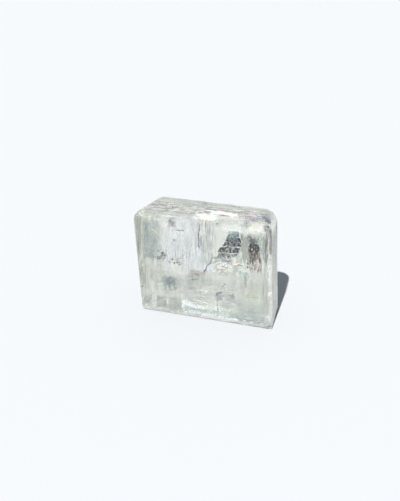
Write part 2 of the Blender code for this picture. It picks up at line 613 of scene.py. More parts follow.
def addMarks(name, given):
    # a few plates round each listed point: (across, down, half width, half height, tint, count)
    look = {**plateLook, **given}
    draw = np.random.default_rng(look["seed"])
    across, down, halfWide, halfHigh, tints, counts = zip(*look["spots"])
    middle = np.repeat(np.stack([across, down], 1), counts, axis=0)
    spread = np.repeat(np.stack([halfWide, halfHigh], 1), counts, axis=0)
    places = middle + spread * draw.uniform(-1, 1, middle.shape)
    centres = underFace(places, draw.uniform(*look["depth"], len(places)), look["face"])
    centres = keepInside(centres, look["size"][1] / 2 + look["room"])
    addPlates(name, look, draw, centres, np.repeat(tints, counts, axis=0))


# what a streak has where its own look says nothing
streakLook = {
    "face": "front",
    "facing": toLamp,
    "steps": 60,
    "wobble": 0.3,  # pixels across
    "wobbleDown": 0.5,  # share of it that goes down
    "wobbleFinest": 5,
    "taper": 8,  # each end narrows over one part in this many
    "tip": 0.05,  # share of the width at its ends
    "swell": 0.35,  # how much the width varies
    "swellFinest": 8,
    "swellLimits": (0.3, 2),
    "flatness": 0.2,  # thickness for a width of 1
    "room": 0.2,
}


def addStreak(name, given):
    # A flat diamond section carried along a line through photo points, tapering at the ends
    look = {**streakLook, **given}
    path = np.asarray(look["line"], float)
    steps, seed, finest = look["steps"], look["seed"], look["wobbleFinest"]
    knots = np.linspace(0, 1, len(path))
    t = np.linspace(0, 1, steps)
    spots = np.stack([np.interp(t, knots, path[:, 0]), np.interp(t, knots, path[:, 1])], -1)
    spots[:, 0] += look["wobble"] * ripple(t, t * 0, seed, finest)
    spots[:, 1] += look["wobble"] * look["wobbleDown"] * ripple(t, t * 0, seed + 1, finest)
    centre = underFace(spots, np.interp(t, (0, 1), np.broadcast_to(look["depth"], 2)), look["face"])
    run = np.gradient(centre, axis=0)
    run /= np.linalg.norm(run, axis=1, keepdims=True)
    across = np.cross(run, look["facing"])
    across /= np.linalg.norm(across, axis=1, keepdims=True)
    lift = np.cross(across, run)
    taper = np.clip(np.minimum(t, 1 - t) * look["taper"], look["tip"], 1)[:, None]
    swell = 1 + look["swell"] * ripple(t, t * 0, seed + 2, look["swellFinest"])[:, None]
    half = look["width"] / 2 * taper * np.clip(swell, *look["swellLimits"])
    thin = half * lift * look["flatness"]
    ring = np.stack([half * across, thin, -half * across, -thin], 1)
    points = keepInside((centre[:, None] + ring).reshape(-1, 3), look["room"])
    number = np.arange(steps * 4).reshape(steps, 4)
    turned = np.roll(number, -1, axis=1)
    sides = np.stack([number[:-1], number[1:], turned[1:], turned[:-1]], -1).reshape(-1, 4)
    caps = np.stack([number[0], number[-1][::-1]])
    made = meshPiece(name, points * mm, np.concatenate([sides, caps]))
    addTints(made, np.tile(np.array(look["tint"]), (len(points), 1)))
    finishFlaw(made, "crackPlates")


# how noise is squeezed on X, Y and Z
upright = (1.0, 1.0, 0.12)
levelled = (0.12, 1.0, 1.0)
patchy = (1.0, 1.0, 0.6)
grainInputs = {"Squeeze": upright, "Scale": 300.0, "Fine": 0.4, "Low": 0.4, "High": 0.6}
grainNoise = {"coarse": (4.0, 0.6), "fine": (2.0, 0.6), "fineTimes": 6.0}  # detail and roughness


def grainGroup():
    # Streaky grain: noise stretched along one axis, blended with finer noise, pushed to a contrast
    tree = bpy.data.node_groups.new("streakyGrain", "ShaderNodeTree")
    for label, value in grainInputs.items():
        kind = "NodeSocketVector" if label == "Squeeze" else "NodeSocketFloat"
        tree.interface.new_socket(name=label, in_out="INPUT", socket_type=kind).default_value = value
    tree.interface.new_socket(name="Grain", in_out="OUTPUT", socket_type="NodeSocketFloat")
    put = addNode(tree, "NodeGroupInput").outputs
    get = addNode(tree, "NodeGroupOutput")
    where = addNode(tree, "ShaderNodeTexCoord").outputs["Object"]
    stretched = addNode(tree, "ShaderNodeVectorMath", where, put["Squeeze"], operation="MULTIPLY").outputs[0]
    finer = multiply(tree, put["Scale"], grainNoise["fineTimes"])
    both = addNode(tree, "ShaderNodeMix", put["Fine"], data_type="FLOAT")
    feed(tree, both.inputs[2], addNoise(tree, stretched, put["Scale"], *grainNoise["coarse"]))
    feed(tree, both.inputs[3], addNoise(tree, stretched, finer, *grainNoise["fine"]))
    push = addNode(tree, "ShaderNodeMapRange", both.outputs[0], put["Low"], put["High"],
                   interpolation_type="SMOOTHSTEP")
    feed(tree, get.inputs["Grain"], push.outputs[0])
    return tree


streakyGrain = grainGroup()


def placeGrain(tree, look):
    return addNode(tree, "ShaderNodeGroup", *look, node_tree=streakyGrain).outputs["Grain"]


def flawMaterial(name, look):
    # the piece's own tint, mottled by one grain, and for a veil an alpha from another
    made, tree, shader = newMaterial(name)
    tint = addNode(tree, "ShaderNodeAttribute", attribute_name="tint").outputs["Color"]
    mottle = mapTo(tree, placeGrain(tree, look["mottle"]), look["shade"], 1.0)
    shaded = addNode(tree, "ShaderNodeVectorMath", tint, operation="SCALE", Scale=mottle)
    feed(tree, shader.inputs["Base Color"], shaded.outputs[0])
    shader.inputs["Roughness"].default_value = look["roughness"]
    shader.inputs["Specular IOR Level"].default_value = flawGloss
    if "cover" in look:
        cover = mapTo(tree, placeGrain(tree, look["gaps"]), *look["cover"])
        feed(tree, shader.inputs["Alpha"], multiply(tree, cover, readMask(tree, "fade")))
    return made


flawGloss = 0.2
# mottle and gaps are grains: squeeze, scale, share of fine noise, low and high end of the contrast.
# shade is the mottle's darkest, cover the least and most alpha that the gaps leave.
flawLooks = {
    "splitFaceFrost": dict(
        roughness=0.8, shade=0.82, mottle=(upright, 350.0, 0.3, 0.35, 0.65),
        gaps=(upright, 220.0, 0.3, 0.3, 0.7), cover=(0.14, 0.46),
    ),
    "paleHaze": dict(
        roughness=0.8, shade=0.85, mottle=(upright, 200.0, 0.2, 0.3, 0.7),
        gaps=(upright, 260.0, 0.25, 0.35, 0.65), cover=(0.04, 0.26),
    ),
    "whiteCloud": dict(
        roughness=0.8, shade=0.85, mottle=(patchy, 1100.0, 0.4, 0.35, 0.65),
        gaps=(patchy, 700.0, 0.45, 0.33, 0.6), cover=(0.2, 0.55),
    ),
    "greySmoke": dict(
        roughness=0.7, shade=0.7, mottle=(patchy, 700.0, 0.4, 0.3, 0.7),
        gaps=(patchy, 600.0, 0.3, 0.3, 0.6), cover=(0.12, 0.5),
    ),
    "levelStreaks": dict(
        roughness=0.7, shade=0.6, mottle=(levelled, 300.0, 0.3, 0.38, 0.62),
        gaps=(levelled, 230.0, 0.3, 0.4, 0.6), cover=(0.15, 0.85),
    ),
    # whiteFlare: the look of the painted highlight sheets under the top edge
    "whiteFlare": dict(
        roughness=0.7, shade=0.97, mottle=(levelled, 900.0, 0.3, 0.38, 0.62),
        gaps=(levelled, 350.0, 0.3, 0.3, 0.6), cover=(0.4, 1.0),
    ),
    "softSmoke": dict(
        roughness=0.8, shade=0.88, mottle=(patchy, 500.0, 0.3, 0.3, 0.7),
        gaps=(patchy, 260.0, 0.25, 0.25, 0.75), cover=(0.24, 0.5),
    ),
    "levelShade": dict(
        roughness=0.7, shade=0.7, mottle=(levelled, 300.0, 0.3, 0.38, 0.62),
        gaps=(levelled, 330.0, 0.3, 0.5, 0.66), cover=(0.0, 0.6),
    ),
    "uprightComb": dict(
        roughness=0.8, shade=0.7, mottle=(upright, 1500.0, 0.3, 0.4, 0.6),
        gaps=(upright, 1300.0, 0.35, 0.42, 0.6), cover=(0.0, 0.34),
    ),
    "levelComb": dict(
        roughness=0.8, shade=0.7, mottle=(levelled, 1500.0, 0.3, 0.4, 0.6),
        gaps=(levelled, 1200.0, 0.3, 0.42, 0.6), cover=(0.0, 0.36),
    ),
    "crackPlates": dict(roughness=0.5, shade=0.8, mottle=(patchy, 2500.0, 0.4, 0.35, 0.65)),
}
flawMaterials = {name: flawMaterial(name, look) for name, look in flawLooks.items()}
print("flaw materials made")

frostPale = (0.90, 0.925, 0.895)
hazePale = (0.87, 0.90, 0.875)
hazeLow = (0.76, 0.79, 0.765)
bandBlue = (0.40, 0.46, 0.52)
# painted shade: the blue-grey of the block's shadow seen through the crystal
seenShadowBlue = (0.22, 0.28, 0.34)
stoneGrey = (0.36, 0.37, 0.36)
tealGrey = (0.22, 0.30, 0.32)
inkDark = (0.012, 0.018, 0.024)
slateGrey = (0.08, 0.11, 0.13)
rustBrown = (0.17, 0.085, 0.04)
# Painted glints: white and rainbow tints on plates facing the key stand in for its sparkle and the thin-film
# colours off cracks. glintWhite also tints real white specks and threads.
glintWhite = (0.98, 0.98, 0.98)
glintPink = (0.95, 0.38, 0.62)
glintGreen = (0.40, 0.95, 0.52)
glintCyan = (0.24, 0.88, 0.95)
glintGold = (0.98, 0.70, 0.36)
glintBlue = (0.36, 0.50, 0.97)
glintViolet = (0.50, 0.34, 0.82)
# painted thin-film colours of cracks and of the top's right end
softViolet = (0.42, 0.32, 0.60)
softBlue = (0.30, 0.42, 0.66)

finePace = (0.9, 0.3, 0.9)  # small clumps
middlePace = (0.6, 0.3, 0.6)


def square(left, top, right, bottom, drop=0.0):
    # corners of an upright patch of the photo; drop lowers its right side
    return ((left, top), (right, top + drop), (right, bottom + drop), (left, bottom))


def patch(left, top, right, bottom, depth, tints, material, seed, drop=0.0, **more):
    plain = dict(corners=square(left, top, right, bottom, drop), depth=depth, soft=0.3, wave=0.15)
    return {**plain, "tints": tints, "material": material, "seed": seed, **more}


# Haze, frost and cloud, with sheets of painted highlight, reflection and shade: corners in the photo's
# frame, or in mm where they have three numbers
veils = {
    "backFrost": dict(
        corners=((-25, 10.2, 39.5), (25.6, 7.8, 40), (25.4, 6.8, 0.1), (-21.5, 9.2, 0.1)),
        soft=(0.02, 0.02, 0.02, 0.004), ragged=0.05, wave=0.1, steps=90, strength=(1.0, 2.1),
        material="splitFaceFrost", tints=(frostPale, frostPale, (0.76, 0.79, 0.75), (0.84, 0.87, 0.84)),
        seed=10,
    ),
    "footFrost": dict(
        corners=((-21.5, 9.2, 0.3), (25.3, 7.0, 0.3), (25.0, -8.9, 0.3), (-23, -8.9, 0.3)), soft=0.01,
        ragged=0.05, wave=0.03, strength=(1.9, 1.2), material="splitFaceFrost",
        tints=((0.66, 0.69, 0.67), (0.66, 0.7, 0.7), (0.56, 0.6, 0.61), (0.66, 0.69, 0.67)), seed=9,
    ),
    "seamFrost": patch(
        146, 262, 161, 301, 11, (0.8, 0.83, 0.8), "splitFaceFrost", 8, soft=(0.3, 0.1, 0.3, 0.1),
        strength=1.9,
    ),
    "middleHaze": dict(
        corners=square(137, 214, 272, 304, 15), depth=(11, 11, 9, 6), soft=(0.05, 0.04, 0.05, 0.1),
        material="paleHaze", tints=(hazePale, hazeLow), seed=11,
    ),
    "nearHaze": dict(
        corners=square(140, 218, 268, 302, 14), depth=(5, 3), soft=0.1, material="paleHaze",
        tints=(hazePale, hazeLow), seed=12,
    ),
    # rightGlow and bandWhite: white haze along the right end, a painted reflection of the light bounced
    # inside the block there
    "rightGlow": dict(
        corners=((265.5, 232), (273, 233), (271, 327), (265.5, 326)), depth=(1.0, 0.6, 0.6, 1.0),
        soft=(0.4, 0.06, 0.2, 0.04), strength=(0.5, 1.6), material="paleHaze", tints=glintWhite, seed=13,
    ),
    # cloudWindow: a pale cloud in the crystal whose bluish white is partly a painted reflection of the
    # bright surroundings
    "cloudWindow": dict(
        corners=((160, 220), (213, 223), (214, 280), (161, 274)), depth=(5, 5.5, 3, 3),
        soft=(0.12, 0.05, 0.3, 0.35), ragged=0.2, wave=0.1, strength=(0.85, 1.0, 1.0, 0.9),
        material="whiteCloud", tints=(0.84, 0.865, 0.93), seed=21,
    ),
    "combMiddle": patch(
        160, 221, 217, 282, 2.2, (0.5, 0.53, 0.56), "uprightComb", 85, drop=2, soft=(0.1, 0.05, 0.1, 0.3),
        strength=(0.35, 1.2, 1.1, 0.3),
    ),
    "combRight": patch(
        240, 232, 275, 318, 1.6, (0.5, 0.52, 0.49), "uprightComb", 86, drop=3, soft=(0.3, 0.05, 0.03, 0.5),
        strength=(0.6, 1.2, 0.3, 0.0),
    ),
    "bandShade": dict(
        corners=((263.5, 226), (279, 227), (278.5, 262), (264, 259)), depth=(2.2, 1.0, 1.0, 2.2),
        soft=(0.15, 0.12, 0.1, 0.5), wave=0.1, strength=2.4, material="uprightComb",
        tints=((0.46, 0.47, 0.5), (0.44, 0.45, 0.41), (0.4, 0.4, 0.4), (0.44, 0.47, 0.5)), seed=115,
    ),
    # part of the same painted reflection at the right end
    "bandWhite": dict(
        corners=((267.5, 254), (274.5, 255), (273, 320), (267, 318)), depth=(1.2, 0.8, 0.8, 1.2),
        soft=(0.3, 0.1, 0.3, 0.4), wave=0.05, strength=(1.2, 0.6), tints=(0.92, 0.95, 0.94), seed=116,
    ),
    "combLeft": patch(
        136, 218, 165, 302, 1.8, (0.5, 0.55, 0.48), "uprightComb", 87, drop=1, soft=(0.03, 0.05, 0.3, 0.2),
        strength=(1.3, 0.5, 0.6, 1.1),
    ),
    "combLow": patch(
        158, 268, 252, 312, 2.0, (0.52, 0.55, 0.53), "uprightComb", 88, drop=8, soft=(0.1, 0.2, 0.35, 0.1),
        strength=(0.9, 0.5, 0.5, 0.9),
    ),
    "rungLow": patch(
        180, 276, 241, 304, 1.5, (0.55, 0.58, 0.58), "levelComb", 89, drop=5, soft=(0.2, 0.15, 0.2, 0.1),
        strength=0.9,
    ),
    "rungPale": patch(
        183, 282, 241, 303, 1.2, (0.97, 0.98, 0.98), "levelComb", 90, drop=5, soft=(0.2, 0.15, 0.2, 0.1),
        strength=1.2,
    ),
    "topStreaks": dict(
        corners=((-23, 8.0, 38.9), (22.5, 6.5, 39.3), (23.5, -8.0, 38.4), (-23, -7.8, 37.7)),
        soft=(0.05, 0.1, 0.05, 0.05), steps=80, material="levelStreaks", tints=(0.62, 0.64, 0.61), seed=22,
    ),
    # topFlare, topFlash and topHalo: white sheets under the top's front edge, a painted highlight for the
    # key's glint off the cleavage there
    "topFlare": dict(
        corners=((-4.2, -3.6, 39.1), (3.6, -4.6, 39.1), (5.6, -8.0, 38.1), (-3.2, -8.0, 38.0)),
        soft=(0.35, 0.45, 0.35, 0.25), ragged=0.25, wave=0.03, strength=(1.15, 0.9, 0.85, 1.1),
        material="whiteFlare", tints=(1.0, 0.99, 0.97), seed=24,
    ),
    "topFlash": dict(
        corners=((-0.5, -1.2, 39.5), (11.0, -2.3, 39.6), (12.2, -4.7, 39.0), (1.0, -3.9, 38.7)), ragged=0.3,
        wave=0.03, strength=(1.9, 1.6, 1.7, 1.9), material="whiteFlare", tints=(1.0, 0.99, 0.98), seed=25,
    ),
    "topHalo": dict(
        corners=((-5, -0.6, 39.0), (15, -2.2, 39.2), (19, -7.6, 38.1), (-6, -7.4, 37.8)),
        soft=(0.35, 0.4, 0.35, 0.3), ragged=0.2, wave=0.03, strength=1.1, tints=(0.98, 0.97, 0.96),
        seed=126,
    ),
    "topShade": dict(
        corners=((-22, 7.0, 39.1), (22, 5.5, 39.5), (23, -7.4, 38.6), (-22, -7.4, 37.9)),
        soft=(0.05, 0.1, 0.05, 0.1), steps=80, material="levelShade", tints=(0.24, 0.25, 0.24), seed=26,
    ),
    "topGlow": dict(
        corners=((205, 214.5), (246, 217), (246, 225), (205, 222.5)), face="top", depth=0.7,
        soft=(0.2, 0.3, 0.25, 0.2), tints=(0.6, 0.62, 0.6), seed=23,
    ),
    "topDim": dict(
        corners=((238, 208.5), (271, 211.5), (272, 223), (240, 220)), face="top", depth=1.1,
        soft=(0.3, 0.3, 0.15, 0.3), strength=(1.9, 1.5, 1.7, 1.9),
        tints=((0.46, 0.45, 0.44), (0.36, 0.39, 0.4), (0.28, 0.32, 0.34), (0.42, 0.42, 0.45)), seed=113,
    ),
    "slateCorner": dict(
        corners=((262, 216), (271, 218.5), (271.5, 224.5), (264.5, 222)), face="top", depth=0.5,
        soft=(0.4, 0.3, 0.1, 0.25), wave=0.03, strength=(1.3, 2.8, 2.8, 1.3), tints=(0.15, 0.18, 0.21),
        seed=121,
    ),
    # darkPatch and sidePatch: fracture sheets whose dark teal and slate grey is a painted reflection of the
    # dark shade behind the block
    "darkPatch": dict(
        corners=((230.5, 229), (240, 230), (240.5, 258.5), (215, 257.5)), depth=(3, 3, 2.6, 2.4),
        soft=(0.12, 0.2, 0.12, 0.08), ragged=0.2, wave=0.1, strength=(2.1, 2.1, 1.2, 0.9),
        material="greySmoke", tints=(tealGrey, slateGrey), seed=31,
    ),
    "sidePatch": dict(
        corners=((249, 232.5), (259, 234.5), (260, 253), (248.5, 251.5)), depth=2.8,
        soft=(0.12, 0.35, 0.2, 0.08), ragged=0.2, wave=0.1, strength=(1.2, 3.4), material="greySmoke",
        tints=((0.36, 0.42, 0.43), (0.38, 0.46, 0.46), (0.015, 0.02, 0.03), (0.015, 0.02, 0.03)), seed=32,
    ),
    "sideBrown": dict(
        corners=((248.5, 250), (260, 251), (262, 272), (248.5, 270)), depth=2.6,
        soft=(0.15, 0.08, 0.2, 0.7), wave=0.1, strength=(2.9, 1.2), material="uprightComb",
        tints=((0.16, 0.09, 0.03), (0.36, 0.34, 0.31)), seed=98,
    ),
    "sideTeal": dict(
        corners=((257.5, 231), (265, 232), (266.5, 264), (259.5, 262)), depth=2.4,
        soft=(0.3, 0.2, 0.3, 0.4), wave=0.1, strength=2.3, material="uprightComb",
        tints=((0.5, 0.52, 0.42), (0.38, 0.5, 0.5)), seed=110,
    ),
    # Painted shade: the next two patches stand for the block's blue-grey shadow seen through the crystal
    "lowShadowSeen": patch(
        161.5, 275.5, 178.5, 291.5, 4, seenShadowBlue, "greySmoke", 33, soft=(0.15, 0.12, 0.4, 0.6), ragged=0.4,
        strength=(1.5, 1.2, 0.9, 1.4),
    ),
    "lowShadowSeenSmall": patch(
        185.5, 275, 194.5, 291, 4, seenShadowBlue, "greySmoke", 34, ragged=0.7, strength=0.8,
    ),
    "lowShade": patch(
        142, 268, 241, 301, 8, (0.55, 0.58, 0.56), "splitFaceFrost", 65, drop=4, strength=1.25,
    ),
    "leftBand": patch(
        142.5, 220.5, 164.5, 258.5, 3, (0.43, 0.49, 0.53), "softSmoke", 35, drop=1,
        soft=(0.07, 0.08, 0.45, 0.05), ragged=0.05, strength=(1.3, 0.9, 1.0, 1.3),
    ),
    "betweenGrey": patch(
        240.5, 233, 250.5, 270, 5, (0.3, 0.34, 0.3), "splitFaceFrost", 62, drop=1,
        soft=(0.15, 0.15, 0.15, 0.3), strength=2.1,
    ),
    "underGrey": patch(
        213, 256, 243, 277, 5, (0.46, 0.49, 0.46), "splitFaceFrost", 63, drop=1,
        strength=(3.0, 2.2, 1.6, 2.2),
    ),
    "underRow": patch(
        212, 256.5, 232, 264, 2.2, (0.44, 0.45, 0.44), "softSmoke", 128, drop=1, strength=1.1,
    ),
    "bandBase": dict(
        corners=((267, 226), (276, 227), (275.5, 256), (268, 255)), depth=(0.9, 0.6, 0.6, 0.9),
        soft=(0.2, 0.1, 0.1, 0.3), wave=0.05, strength=1.6, tints=(0.34, 0.36, 0.37), seed=122,
    ),
    "rightShade": dict(
        corners=((24.7, -8.2, 37.2), (24.0, 5.0, 37.0), (25.0, 6.0, 0.7), (25.6, -8.2, 0.7)),
        soft=(0.04, 0.07, 0.04, 0.04), ragged=0.02, wave=0.05, strength=(2.4, 1.7, 0.7, 0.8),
        material="splitFaceFrost", tints=(0.56, 0.59, 0.59), seed=123,
    ),
    "footShade": dict(
        corners=((232, 300), (266, 300), (265, 325), (227, 318.5)), depth=1.5, soft=(0.2, 0.3, 0.1, 0.1),
        ragged=0.15, wave=0.1, strength=(0.7, 0.4, 1.1, 1.1), tints=(0.5, 0.54, 0.53), seed=124,
    ),
    "leftEdgeGrey": patch(
        134.5, 216, 143.5, 300, 3, (0.55, 0.58, 0.52), "splitFaceFrost", 64, soft=(0.2, 0.05, 0.4, 0.1),
        strength=(2.2, 1.8, 0.8, 0.9),
    ),
    "greyBlob": patch(
        167.5, 219, 177, 228, 3, (0.42, 0.43, 0.42), "softSmoke", 37, soft=(0.12, 0.3, 0.4, 0.3),
        ragged=0.15, strength=1.2,
    ),
    "footGreyLeft": patch(
        156, 295, 167, 307, 2.0, stoneGrey, "softSmoke", 38, soft=(0.15, 0.2, 0.15, 0.1), ragged=0.1,
        strength=0.85,
    ),
    "footGreyRight": patch(
        169, 296, 181.5, 311, 2.0, stoneGrey, "softSmoke", 39, soft=(0.15, 0.2, 0.08, 0.1), ragged=0.1,
        strength=0.85,
    ),
    "footBlotch": patch(142.5, 293.5, 152.5, 307, 2.0, stoneGrey, "softSmoke", 99, strength=0.7),
    "greyStep": patch(
        214.5, 291.5, 224, 301.5, 1.0, (0.42, 0.44, 0.47), "softSmoke", 40, soft=(0.2, 0.12, 0.25, 0.3),
        ragged=0.2, strength=1.2,
    ),
    "greyStepRight": patch(227.5, 293, 236, 302, 3, stoneGrey, "softSmoke", 41, strength=1.6),
    "foldShade": dict(
        corners=((221, 296), (241.5, 298.5), (229, 311.5), (218, 309)), depth=2.4,
        soft=(0.4, 0.25, 0.03, 0.3), ragged=0.03, wave=0.05, strength=0.8, tints=(0.5, 0.53, 0.53),
        seed=117,
    ),
    "crackGlow": patch(198, 235, 203.5, 252, 3, (0.42, 0.46, 0.58), "greySmoke", 42, strength=0.7),
    "footBlue": patch(238, 309.5, 269, 317, 2, (0.56, 0.63, 0.7), "softSmoke", 43, drop=2.5, strength=0.8),
    # footBlueLow and footWhite: a painted reflection, the bluish white strip that the bottom face reflects
    "footBlueLow": patch(
        226, 315.5, 270, 319, 0.6, (0.56, 0.62, 0.67), "softSmoke", 111, drop=7, wave=0.03, strength=1.5,
    ),
    "footWhite": dict(
        corners=((198, 313), (242, 319.5), (242, 324), (198, 317.5)), depth=0.5, soft=(0.1, 0.3, 0.2, 0.2),
        ragged=0.2, wave=0.03, strength=(1.1, 1.2, 1.2, 1.1), tints=(0.95, 0.98, 1.0), seed=44,
    ),
    "brownPink": patch(187, 269.5, 206, 277.5, 2, (0.5, 0.38, 0.38), "greySmoke", 83, drop=1, strength=0.6),
    # footBright: a painted caustic, the bright parallelogram at the foot
    "footBright": patch(
        181.5, 299.5, 226, 313.5, 1.0, (0.86, 0.9, 0.89), "whiteCloud", 66, drop=7.5,
        soft=(0.02, 0.06, 0.3, 0.4), ragged=0.06, strength=(1.5, 0.5, 0.5, 1.3),
    ),
    "edgeWhite": patch(
        155, 212, 181, 222, 1.6, (0.86, 0.87, 0.9), "softSmoke", 45, drop=1.5, soft=(0.3, 0.3, 0.4, 0.4),
        strength=0.8,
    ),
    "facetLeft": dict(
        corners=square(220, 222.5, 242, 231, 1.2), depth=(3.4, 3.2, 1.0, 1.0), soft=(0.15, 0.35, 0.1, 0.12),
        ragged=0.12, wave=0.03, strength=(0.5, 1.1), tints=(0.84, 0.85, 0.83), seed=46,
    ),
    "facetRight": dict(
        corners=square(247, 221.5, 266, 232.5, 1.5), depth=(3.4, 3.2, 1.0, 1.0),
        soft=(0.25, 0.35, 0.25, 0.2), ragged=0.25, wave=0.03, strength=(0.6, 0.6, 1.8, 1.6),
        tints=(0.88, 0.87, 0.84), seed=47,
    ),
    # edgePink: the pink under the rainbow at the top's right end, a painted thin-film colour
    "edgePink": patch(
        242, 211.5, 258, 220, 0.6, (0.5, 0.42, 0.44), "softSmoke", 67, drop=0.8, face="top", wave=0.03,
        strength=1.2,
    ),
    "edgeSlate": patch(
        247, 213, 269, 221, 0.6, (0.28, 0.32, 0.38), "levelStreaks", 68, drop=1.4, face="top", wave=0.03,
        strength=(0.8, 1.2, 1.2, 0.8),
    ),
    "creamBand": patch(
        231, 262, 244.5, 265.8, 2, (1.0, 0.96, 0.88), "whiteCloud", 48, drop=0.8, strength=1.3,
    ),
    "coolPatch": dict(
        corners=square(238, 271, 253, 278, 1), depth=3, soft=0.4, wave=0.15, strength=1.1,
        tints=((0.66, 0.86, 0.8), (0.42, 0.58, 0.76), (0.42, 0.58, 0.76), (0.66, 0.86, 0.8)), seed=49,
    ),
    "yellowHaze": patch(
        242, 294.3, 264, 298.3, 3, (0.74, 0.73, 0.54), "softSmoke", 77, drop=1, strength=0.95,
    ),
    "greyDrop": patch(244.5, 277, 246.8, 288, 2.5, stoneGrey, "greySmoke", 50, strength=0.9),
}
for name, look in veils.items():
    addVeil(name, look)
print("veils made", len(veils))
